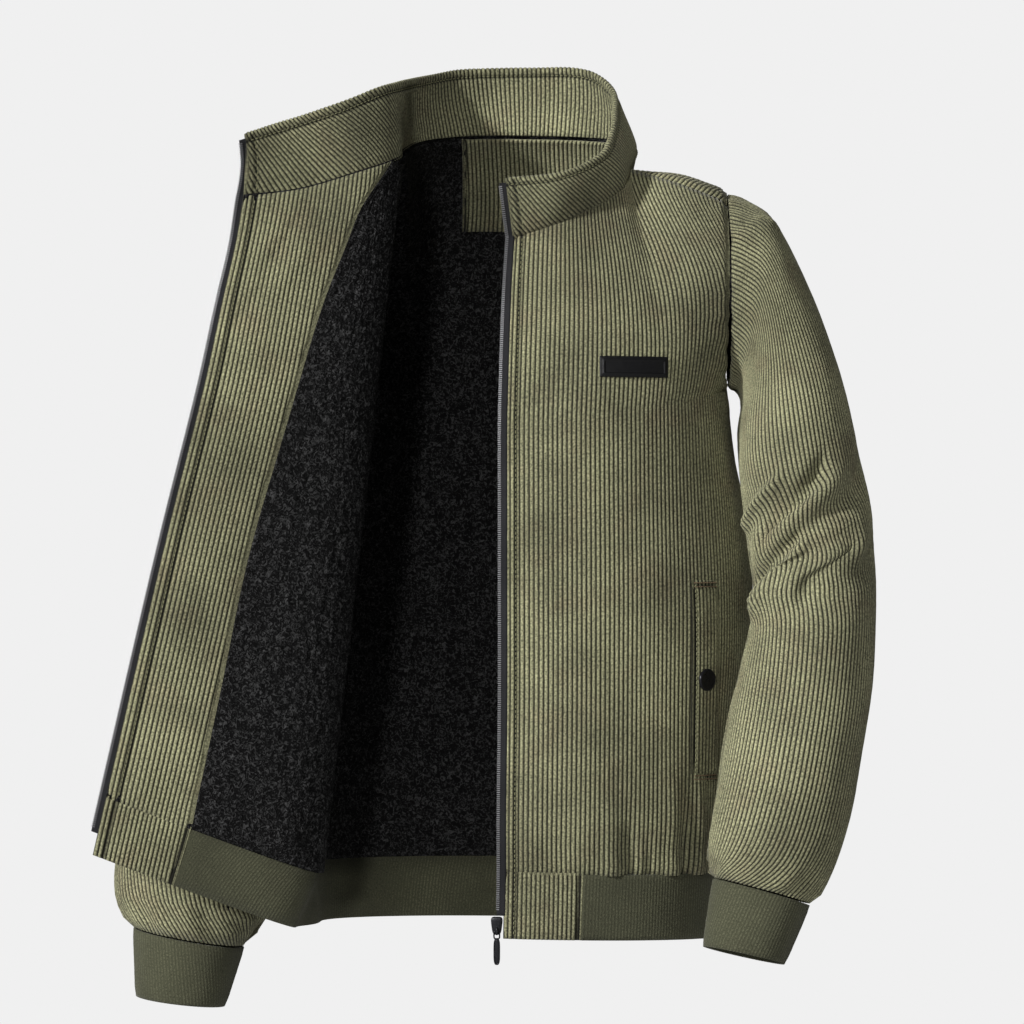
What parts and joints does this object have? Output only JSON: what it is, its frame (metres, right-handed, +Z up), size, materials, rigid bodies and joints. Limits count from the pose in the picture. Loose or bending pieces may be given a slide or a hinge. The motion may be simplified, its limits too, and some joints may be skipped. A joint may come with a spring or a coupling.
{
  "type": "corduroy jacket",
  "caption": "Zip-front corduroy jacket with stand collar, rib-knit cuffs and hem and fleece lining, hollow as worn, with its right front folded open.",
  "frame": {"origin": "middle of the neck hole, at the height where the shoulders carry the jacket", "axes": "+X towards the wearer's left side, +Y towards the back, +Z up towards the collar"},
  "size_m": [0.6591, 0.29, 0.8159],
  "materials": {
    "corduroy": "wide-wale cotton corduroy, soft sheen",
    "rib_knit": "heathered rib knit, matte",
    "fleece": "curly pile fleece, matte",
    "zip_tape": "woven tape with moulded teeth",
    "zip_metal": "black enamel, satin",
    "black_trim": "satin black"
  },
  "bodies": {
    "jacket": {"front_left": "corduroy", "front_right": "corduroy", "back": "corduroy", "sleeve_left": "corduroy", "sleeve_right": "corduroy", "cuff_left": "rib_knit", "cuff_right": "rib_knit", "hem_rib": "rib_knit", "hem_tab_left": "corduroy", "hem_tab_right": "corduroy", "collar": "corduroy", "facing_right": "corduroy", "lining_right": "fleece", "lining_back": "fleece", "back_neck_facing": "corduroy", "pocket_welt_left": "corduroy", "pocket_welt_right": "corduroy", "label_patch": "black_trim", "snap_left": "black_trim", "snap_right": "black_trim", "zip_tape_left": "zip_tape", "zip_tape_right": "zip_tape", "zip_slider": "zip_metal"},
    "pull": {"zip_pull": "zip_metal"}
  },
  "joints": [
    {"name": "pull_hinge", "type": "hinge", "parent": "jacket", "child": "pull", "pos_m": [-0.017, -0.1176, -0.6484], "axis": [-1, 0, 0], "range_deg": [0, 150]}
  ]
}
